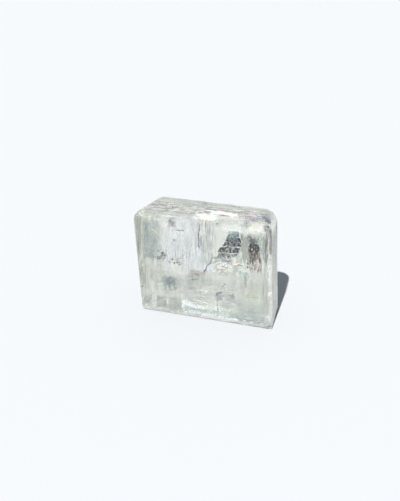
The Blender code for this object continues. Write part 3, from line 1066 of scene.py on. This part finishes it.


# Painted glints, speckles and threads: plates spread over areas of the photo's frame
clouds = {
    # darkSpeckle and sideSpeckle: near-black plates in those fractures; the texture is the cracks', the
    # darkness a painted reflection of the shade behind the block
    "darkSpeckle": dict(
        areas=(
            ((228.5, 238), (240, 238.5), (240.5, 242), (226, 241.5)),
            ((226.5, 240), (240.5, 240.5), (241, 246.4), (222.5, 245.9)),
            ((226.5, 240), (240.5, 240.5), (241, 246.4), (222.5, 245.9)),
            ((220, 247.3), (240, 247.6), (239, 252.9), (217.5, 252.1)),
        ),
        depth=(1.5, 2.4), count=900, size=(0.2, 0.7), scatter=0.2, clumpPace=finePace,
        tints=((inkDark, 9), (slateGrey, 4), (rustBrown, 1)), seed=51,
    ),
    "rowBrown": dict(
        areas=(((217, 253.6), (236, 254.4), (232, 258.5), (216.5, 257.5)),), depth=(1.5, 2.4), count=60,
        size=(0.25, 0.8), scatter=0.2, clumpPace=finePace,
        tints=(((0.15, 0.15, 0.11), 6), (inkDark, 1), (rustBrown, 2)), seed=84,
    ),
    "darkGlints": dict(
        areas=(((226, 233), (241, 233), (241, 259), (217, 257)),), depth=(0.9, 1.4), count=420,
        size=(0.12, 0.42), facing=toLamp, scatter=0.5, clumpPace=finePace,
        tints=(
            (glintWhite, 4), (glintCyan, 1), (glintPink, 0.6), (glintViolet, 0.8), ((0.5, 0.55, 0.45), 4),
            ((0.3, 0.42, 0.46), 5),
        ),
        seed=81,
    ),
    "sideSpeckle": dict(
        areas=(
            ((249.5, 243.5), (258.5, 245), (259, 249), (249.5, 248)),
            ((249, 245), (259, 246.5), (259.5, 253), (248.5, 251.5)),
            ((249, 245.5), (259, 247), (259.5, 252.5), (248.5, 251)),
            ((249, 245.5), (259, 247), (259.5, 252.5), (248.5, 251)),
        ),
        depth=(1.3, 2.2), count=880, size=(0.2, 0.7), scatter=0.2, clump=-1.2, clumpPace=(0.9, 0.3, 0.5),
        tints=((inkDark, 9), (slateGrey, 2), (rustBrown, 1)), seed=52,
    ),
    "sideGlints": dict(
        areas=(((249, 236), (266, 238), (266, 262), (248, 260)),), depth=(0.9, 1.3), count=190,
        size=(0.12, 0.42), facing=toLamp, scatter=0.5, clumpPace=finePace,
        tints=(
            (glintWhite, 4), (glintCyan, 1), (glintGreen, 1), (glintGold, 1), ((0.5, 0.55, 0.45), 3),
            ((0.3, 0.44, 0.44), 5),
        ),
        seed=82,
    ),
    "brownStreaks": dict(
        areas=(
            ((248.5, 250.5), (260.5, 252), (261.5, 262), (248.5, 260)),
            ((248.5, 250.5), (260.5, 252), (261.5, 263), (248.5, 261)),
            ((248.5, 252), (260.5, 254), (262, 273), (249, 271)),
        ),
        depth=(1.3, 2.6), count=480, size=(0.5, 2.6), aspect=(0.05, 0.1), grainScatter=0.04, clump=-0.5,
        tints=((rustBrown, 6), ((0.05, 0.04, 0.03), 3), (slateGrey, 2), (glintWhite, 1)), seed=53,
    ),
    "speckCluster": dict(
        areas=(square(157, 249, 167, 262),), depth=(1.2, 2.0), count=120, size=(0.2, 0.8), scatter=0.3,
        clump=0.2, clumpPace=middlePace, tints=((slateGrey, 6), (bandBlue, 3), (glintWhite, 3)), seed=54,
    ),
    "dashCluster": dict(
        areas=(square(169, 254, 182, 264, 2),), depth=(1.2, 2.0), count=80, size=(0.2, 0.9),
        aspect=(0.2, 0.4), scatter=0.3, grain=(1, 0, -0.3), clump=0.5, clumpPace=(0.5, 0.3, 0.8),
        tints=((slateGrey, 5), (stoneGrey, 3), (glintWhite, 4)), seed=118,
    ),
    # edgeGlints: painted glints, white and rainbow plates facing the key along the top's front edge
    "edgeGlints": dict(
        areas=(((197, 211), (238, 213), (236, 221), (195, 222)),), face="top", depth=(0.5, 1.2), count=200,
        size=(0.2, 0.9), aspect=(0.25, 0.6), facing=toLamp, grain=(1, 0.1, 0), grainScatter=0.15, clump=0.1,
        tints=(
            (glintWhite, 8), (glintGold, 0.8), (glintPink, 0.7), (glintGreen, 0.7), (glintViolet, 0.4),
            (glintCyan, 0.4),
        ),
        seed=55,
    ),
    # footGlints: painted caustic sparkle at the foot, white and rainbow plates facing the key
    "footGlints": dict(
        areas=(square(183, 300, 223, 311.5, 7), square(182.5, 300, 190, 312, 1)), depth=(0.4, 0.9),
        count=130, size=(0.2, 0.8), facing=toLamp, scatter=0.3, clump=0.2,
        tints=((glintWhite, 12), (glintCyan, 1.5), (glintBlue, 0.8), (glintGreen, 0.7), (glintPink, 0.5)),
        seed=56,
    ),
    # starSprays: painted glints, white plates facing the key over the sprays of cracks
    "starSprays": dict(
        areas=(square(211.5, 261.5, 232.5, 272),), depth=(0.8, 1.8), count=105, size=(0.3, 1.5),
        aspect=(0.15, 0.45), facing=toLamp, scatter=0.12, grain=(1, 0, 0.5), clump=0.1,
        clumpPace=middlePace,
        tints=((glintWhite, 16), (glintPink, 0.5), (glintGold, 0.7), (glintBlue, 0.5)), seed=57,
    ),
    # cornerFacets: painted highlights along the top's front left edge, white and pale green plates facing
    # the key, with some grey
    "cornerFacets": dict(
        areas=(square(134.5, 208.5, 144, 216.5, -1),), face="top", depth=(0.8, 1.6), count=110,
        size=(0.15, 0.9), facing=toLamp, scatter=0.3, clump=0.1,
        tints=((glintWhite, 6), ((0.85, 0.95, 0.7), 3), (stoneGrey, 2)), seed=69,
    ),
    # edgeRainbow: painted thin-film colours at the top's right end, mixed with brown and blue-grey plates
    "edgeRainbow": dict(
        areas=(square(243, 213.5, 257, 223, 0.5),), face="top", depth=(0.8, 1.6), count=130,
        size=(0.2, 1.0), facing=toLamp, scatter=0.4, clump=0.1,
        tints=(
            (glintPink, 2), (glintViolet, 2), (glintBlue, 2), (glintGold, 1.5), (rustBrown, 2),
            (bandBlue, 2),
        ),
        seed=70,
    ),
    "dust": dict(
        areas=(square(138, 216, 270, 304, 14),), depth=(1, 15), count=9000, size=(0.06, 0.22), scatter=1.0,
        clump=-0.6, tints=((glintWhite, 5), (stoneGrey, 4), (bandBlue, 1)), seed=80,
    ),
    "threadsMiddle": dict(
        areas=(square(195, 222, 216, 266), square(198, 222, 214, 262), square(163, 244, 195, 270)),
        depth=(2, 6), count=260, size=(1.0, 7.0), aspect=(0.015, 0.035), grainScatter=0.01, clump=-0.3,
        tints=((stoneGrey, 3), (glintWhite, 2)), seed=58,
    ),
    # bandDashes: white dashes facing the key, part of the painted reflection streak at the right end
    "bandDashes": dict(
        areas=(square(267.5, 256, 270.5, 304, 0), square(272, 258, 275, 290, 0)), depth=(0.6, 2.2),
        count=110, size=(0.5, 1.8), aspect=(0.12, 0.3), facing=toLamp, scatter=0.05, grainScatter=0.02,
        clump=-0.6, tints=((glintWhite, 6), ((0.8, 0.84, 0.82), 3)), seed=95,
    ),
    "bandLines": dict(
        areas=(
            square(265, 224, 267.5, 262, 0), square(270, 224, 271.5, 262, 0),
            square(275, 226, 276.2, 262, 0),
        ),
        depth=(0.5, 1.5), count=190, size=(1.5, 6.0), aspect=(0.02, 0.05), scatter=0.05, grainScatter=0.01,
        clump=-0.6,
        tints=(((0.22, 0.24, 0.26), 4), ((0.34, 0.31, 0.27), 3), ((0.27, 0.33, 0.31), 2), (glintWhite, 3)),
        seed=96,
    ),
    "topFlakes": dict(
        areas=(((150, 203), (262, 212), (262, 219), (146, 211)),), face="top", depth=(0.35, 1.0), count=700,
        size=(0.6, 4.5), aspect=(0.08, 0.22), facing=(0, -0.1, 1), scatter=0.06, grain=(1, 0.08, 0),
        grainScatter=0.05, clump=-0.1, clumpPace=(0.1, 0.5, 0.3),
        tints=((glintWhite, 5), ((0.26, 0.27, 0.27), 4), ((0.38, 0.34, 0.3), 2)), seed=97,
    ),
    "threadsRight": dict(
        areas=(square(261, 228, 274, 320, 2),), depth=(1, 4), count=160, size=(2.0, 12.0),
        aspect=(0.006, 0.014), grainScatter=0.005, clump=-0.3,
        tints=((stoneGrey, 3), (glintWhite, 2), (bandBlue, 1)), seed=59,
    ),
    "threadsLeft": dict(
        areas=(square(136, 222, 146, 290, 0),), depth=(1, 4), count=110, size=(2.0, 9.0),
        aspect=(0.01, 0.02), grain=(0.06, 0, 1), grainScatter=0.005, clump=-0.3,
        tints=((stoneGrey, 3), (glintWhite, 2), (rustBrown, 0.5)), seed=60,
    ),
    "threadsLevel": dict(
        areas=(square(188, 284, 232, 304, 3),), depth=(1.5, 4), count=90, size=(1.0, 7.0),
        aspect=(0.01, 0.02), grain=(1, 0, 0.02), grainScatter=0.005, clump=-0.3,
        tints=((stoneGrey, 2), (glintWhite, 3)), seed=61,
    ),
}
for name, look in clouds.items():
    addCloud(name, look)
print("clouds of plates made", len(clouds))


# Single marks: a few plates round each point of the photo's frame
marks = {
    # brightSpots: mostly painted glints, white and rainbow plates facing the key, among them the bright left
    # end of the caustic at the foot; the teal-grey ones belong to the dark patches
    "brightSpots": dict(
        depth=(0.7, 1.0), size=(0.25, 0.75), facing=toLamp, scatter=0.15, seed=91,
        spots=(
            (227.5, 249.5, 1.3, 0.6, glintWhite, 5), (237.5, 247.3, 0.5, 0.8, glintWhite, 3),
            (251.5, 250, 0.6, 1.0, glintWhite, 4), (258, 243.5, 0.6, 1.2, glintGreen, 3),
            (258.5, 267, 0.9, 0.5, glintPink, 5), (187, 293.5, 0.6, 0.8, glintBlue, 3),
            (154, 298.5, 0.7, 0.5, glintPink, 3), (222, 259.3, 2.6, 0.7, softBlue, 14),
            (226, 260.8, 1.4, 0.6, softViolet, 8), (262.5, 246, 2.5, 8.0, (0.3, 0.46, 0.42), 26),
            (256, 240.5, 3.5, 2.0, (0.24, 0.36, 0.36), 12), (234, 236, 3.0, 2.0, (0.26, 0.38, 0.38), 16),
            (204.5, 271.5, 1.0, 1.6, glintViolet, 3), (229, 266, 2.0, 1.6, glintWhite, 12),
            (220, 267, 3.5, 1.5, glintWhite, 10), (227, 271, 2.5, 0.8, glintWhite, 6),
            (186.5, 300.2, 1.8, 0.5, glintWhite, 8), (183.8, 302, 0.8, 1.4, glintWhite, 10),
            (183, 305.5, 0.6, 1.8, glintWhite, 10), (184.6, 305.5, 0.6, 2.0, glintCyan, 5),
            (183.8, 309.3, 0.6, 1.4, glintWhite, 8), (186.0, 311.9, 1.3, 0.5, glintWhite, 5),
            (188, 306, 2.5, 4.0, (0.8, 0.92, 0.95), 10), (186, 303.5, 1.6, 1.2, glintCyan, 5),
            (190, 308.5, 2.0, 1.2, (0.16, 0.4, 0.5), 6), (196, 311, 2.5, 1.0, glintCyan, 4),
            (258, 229.4, 2.6, 0.7, glintWhite, 9), (192.5, 309, 1.2, 0.9, glintBlue, 5),
            (206, 308.5, 0.8, 0.8, glintGreen, 4), (218, 318.5, 1.2, 0.7, glintCyan, 3),
            (254.5, 233, 0.7, 0.7, glintWhite, 3), (205, 291, 3.5, 0.6, glintWhite, 8),
            (248, 275, 2.5, 0.8, (0.45, 0.7, 0.85), 3), (142.5, 268, 0.3, 5.0, (0.58, 0.78, 0.48), 7),
        ),
    ),
    # footSpots: painted caustic sparkle, white and pale blue plates along the bottom strip
    "footSpots": dict(
        depth=(0.2, 0.35), size=(0.3, 0.75), facing=toLamp, scatter=0.15, seed=125,
        spots=(
            (237, 320, 1.4, 0.5, glintWhite, 8), (244, 321, 1.8, 0.5, glintWhite, 10),
            (250.5, 322.4, 1.8, 0.5, glintWhite, 9), (226, 317.5, 1.2, 1.6, (0.86, 0.95, 1.0), 8),
            (262, 324, 2.0, 0.4, (0.8, 0.88, 0.94), 6), (207, 315.6, 6.0, 0.9, (0.84, 0.9, 0.91), 26),
            (221, 317.6, 5.0, 1.0, (0.84, 0.9, 0.92), 26), (232, 319.2, 5.0, 0.9, (0.84, 0.9, 0.93), 24),
        ),
    ),
    # edgeSpots: painted glints and thin-film colours along the top edge, with a few grey streak marks
    "edgeSpots": dict(
        face="top", depth=(0.35, 0.6), size=(0.25, 0.8), facing=toLamp, scatter=0.15, seed=92,
        spots=(
            (222, 209.6, 2.4, 0.4, glintPink, 7), (229, 212.6, 2.6, 0.6, (0.6, 0.95, 0.68), 9),
            (217, 220.6, 0.9, 0.4, glintCyan, 4), (204, 219.3, 4.0, 0.4, glintGold, 8),
            (197, 216.6, 2.0, 0.8, (0.98, 0.74, 0.72), 6), (246.5, 213.6, 3.5, 0.8, (0.8, 0.46, 0.42), 18),
            (249.5, 213, 3.0, 1.2, softViolet, 14), (254.5, 214.6, 0.9, 1.6, glintGold, 8),
            (248.5, 215, 2.5, 1.4, softBlue, 12), (256, 212, 2.0, 0.8, (0.76, 0.56, 0.6), 7),
            (250, 218, 2.5, 0.6, (0.96, 0.76, 0.6), 6), (259, 220.5, 3.5, 1.0, glintWhite, 9),
            (192, 209, 5.0, 1.0, glintWhite, 14), (176, 206, 6.0, 1.0, glintWhite, 12),
            (141, 212.2, 3.0, 0.9, glintWhite, 14), (147, 214.6, 4.5, 0.5, glintWhite, 14),
            (171, 203.6, 3.0, 0.5, glintWhite, 8), (186, 204, 8.0, 1.2, stoneGrey, 14),
            (160, 207, 6.0, 1.5, stoneGrey, 14), (262.5, 217, 3.5, 1.0, (0.26, 0.29, 0.33), 16),
        ),
    ),
    "darkSpots": dict(
        depth=(1.2, 1.8), size=(0.3, 0.9), scatter=0.2, seed=93,
        spots=(
            (247.5, 264, 0.4, 0.7, inkDark, 4), (247.6, 267.2, 0.4, 0.5, inkDark, 3),
            (236.5, 250.5, 1.5, 1.8, (0.06, 0.03, 0.09), 14), (160.5, 258, 1.3, 1.6, inkDark, 14),
            (163.5, 254, 1.8, 2.2, inkDark, 16), (172, 259, 1.5, 0.6, inkDark, 5),
            (176.5, 262.5, 3.0, 0.7, inkDark, 9), (179.5, 264.5, 1.2, 0.4, stoneGrey, 4),
            (160, 265, 1.0, 0.4, slateGrey, 3), (196, 279.2, 4.0, 0.3, slateGrey, 9),
            (196, 274.5, 6.0, 1.4, (0.42, 0.36, 0.35), 12), (216.5, 224, 1.2, 1.0, (0.35, 0.38, 0.36), 8),
            (174.5, 240, 1.6, 0.3, stoneGrey, 4), (205, 271.5, 1.5, 1.0, (0.1, 0.06, 0.16), 5),
            (246, 281, 0.5, 3.5, stoneGrey, 8), (222, 286.5, 4.0, 2.5, stoneGrey, 12),
        ),
    ),
    "cornerSlate": dict(
        depth=(0.3, 0.5), size=(0.3, 0.6), scatter=0.3, seed=94,
        spots=((270.2, 219.8, 1.3, 1.6, (0.09, 0.12, 0.15), 60),),
    ),
    "cornerSlateTop": dict(
        face="top", depth=(0.3, 0.6), size=(0.4, 1.1), facing=(0, -0.6, 1), scatter=0.3, seed=114,
        spots=(
            (269.2, 221.2, 1.5, 1.6, (0.08, 0.11, 0.14), 36),
            (264.5, 218.0, 3.0, 0.8, (0.24, 0.28, 0.32), 12),
            (258, 214.6, 4.0, 0.6, (0.22, 0.25, 0.29), 12),
        ),
    ),
}
for name, look in marks.items():
    addMarks(name, look)
print("marks made", len(marks))


# Cracks and bright lines through points of the photo's frame; the sprays and the lines at the foot paint
# glints and caustic light
streaks = {
    "greenLine": dict(
        line=((151.6, 228.5), (156.5, 234), (161.5, 240.2)), depth=2, width=0.42, wobble=0.08,
        tint=(1.0, 1.0, 0.78), seed=71,
    ),
    "greenLineLow": dict(
        line=((160.5, 239), (164, 243.5), (168, 249.5)), depth=2, width=0.16, wobble=0.08,
        tint=(0.86, 0.9, 0.8), seed=119,
    ),
    "bandSeam": dict(
        line=((150.8, 223), (151.4, 240), (152.2, 257.5)), depth=2.4, width=0.42, wobble=0.1,
        facing=toFront, tint=(0.96, 0.98, 0.95), seed=120,
    ),
    "crackLine": dict(
        line=((199.4, 224), (198.8, 232), (198.4, 240), (200, 250)), depth=2, width=0.26, wobble=0.35,
        facing=toFront, tint=slateGrey, seed=72,
    ),
    "crackFoot": dict(
        line=((212, 256), (210, 262), (206, 268), (203.5, 273)), depth=2, width=0.22, wobble=0.5,
        facing=toFront, tint=slateGrey, seed=73,
    ),
    "brightWaveHigh": dict(
        line=((222, 246.8), (228, 246), (234, 247), (241, 247.4)), depth=1.2, width=0.22, wobble=0.6,
        tint=(0.95, 0.88, 0.92), seed=74,
    ),
    "brightWaveLow": dict(
        line=((217.5, 252.6), (224, 252.4), (231, 254), (240, 253.4)), depth=1.2, width=0.24, wobble=0.6,
        tint=(0.93, 0.95, 0.88), seed=75,
    ),
    "footCrack": dict(
        line=((216.8, 297), (217.4, 307), (218, 319)), depth=(0.7, 0.4), width=0.2, wobble=0.25,
        facing=toFront, tint=(0.34, 0.4, 0.46), seed=127,
    ),
    # footLine and footLineWarm: painted caustic light at the foot, a white line with a warm edge
    "footLine": dict(
        line=((190.5, 299), (200, 301.5), (212, 305), (223, 308.5)), depth=0.5, width=0.5, wobble=0.1,
        tint=glintWhite, seed=76,
    ),
    "footLineWarm": dict(
        line=((193, 301.2), (200, 303.2), (210, 306)), depth=0.5, width=0.15, wobble=0.1,
        tint=(0.98, 0.78, 0.54), seed=100,
    ),
    # sprayHigh and sprayLow: painted glints, white lines facing the key
    "sprayHigh": dict(
        line=((213, 265.5), (219, 262.8), (226, 263.6), (231.5, 267)), depth=0.9, width=0.5, wobble=0.4,
        tint=glintWhite, seed=101,
    ),
    "sprayLow": dict(
        line=((214, 270.5), (220, 267.6), (228, 269.5), (231, 272)), depth=0.9, width=0.45, wobble=0.4,
        tint=glintWhite, seed=102,
    ),
    "creamLine": dict(
        line=((231.5, 262.8), (238, 263.6), (244, 265)), depth=1.2, width=0.45, wobble=0.15,
        tint=(1.0, 0.95, 0.84), seed=103,
    ),
    "topDash": dict(
        line=((175.5, 229.8), (180, 230.4), (184.5, 230.2)), depth=2, width=0.36, wobble=0.1,
        facing=toFront, tint=(0.36, 0.42, 0.42), seed=78,
    ),
}
for name, look in streaks.items():
    addStreak(name, look)
print("streaks made", len(streaks))


# Floor, lamps and the soft room light
stageLook = {
    "floorSize": 12.0,
    "floorDrop": 0.05,  # mm under the block
    "floorColor": (0.84, 0.86, 0.88, 1),
    "floorRoughness": 0.7,
    "floorGloss": 0.2,
    "keyWay": (0.0, 30.6, -38.3),  # the way that the key light travels
    "keySpread": 0.9,  # degrees
    "keyStrength": 4.05,
    "backWay": (0.15, -1.0, -0.5),  # and the soft light from behind, for the flaws only
    "backSpread": 40.0,
    "backStrength": 1.2,
    "roomColor": (0.92, 0.96, 1.0, 1),
    "roomFill": 0.12,  # on matt surfaces
    "roomSeen": 0.72,  # in reflections and through the crystal
    "roomBack": 0.93,  # straight behind the stage
}


def addSun(name, way, spread, strength):
    data = bpy.data.lights.new(name, "SUN")
    data.angle = math.radians(spread)
    data.energy = strength
    lamp = bpy.data.objects.new(name, data)
    lamp.rotation_euler = Vector(way).to_track_quat("-Z", "Y").to_euler()
    bpy.context.scene.collection.objects.link(lamp)
    return lamp


def addRoom(look):
    # a plain room: weak fill on matt surfaces, and a paler one in reflections and through the glass
    world = bpy.data.worlds.new("room")
    world.use_nodes = True
    tree = world.node_tree
    back = tree.nodes["Background"]
    back.inputs["Color"].default_value = look["roomColor"]
    path = addNode(tree, "ShaderNodeLightPath").outputs
    level = mapTo(tree, path["Is Diffuse Ray"], look["roomSeen"], look["roomFill"])
    level = mapTo(tree, path["Is Camera Ray"], level, look["roomBack"])
    feed(tree, back.inputs["Strength"], level)
    world.cycles.sampling_method = "NONE"
    bpy.context.scene.world = world


def addStage(look):
    half = look["floorSize"] / 2
    drop = -look["floorDrop"] * mm
    corners = np.array([[-half, -half, drop], [half, -half, drop], [half, half, drop], [-half, half, drop]])
    floor = meshPiece("floor", corners, np.array([[0, 1, 2, 3]]))
    made, tree, shader = newMaterial("paleFloor")
    shader.inputs["Base Color"].default_value = look["floorColor"]
    shader.inputs["Roughness"].default_value = look["floorRoughness"]
    shader.inputs["Specular IOR Level"].default_value = look["floorGloss"]
    floor.data.materials.append(made)
    addSun("key", look["keyWay"], look["keySpread"], look["keyStrength"])
    behind = addSun("behind", look["backWay"], look["backSpread"], look["backStrength"])
    behind.light_linking.receiver_collection = flawSet
    addRoom(look)


addStage(stageLook)
scene = bpy.context.scene
scene.view_settings.view_transform = "Standard"
scene.cycles.transmission_bounces = 24
scene.cycles.max_bounces = 28
scene.cycles.transparent_max_bounces = 64
scene.cycles.caustics_refractive = False
scene.cycles.caustics_reflective = False
print("stage set")
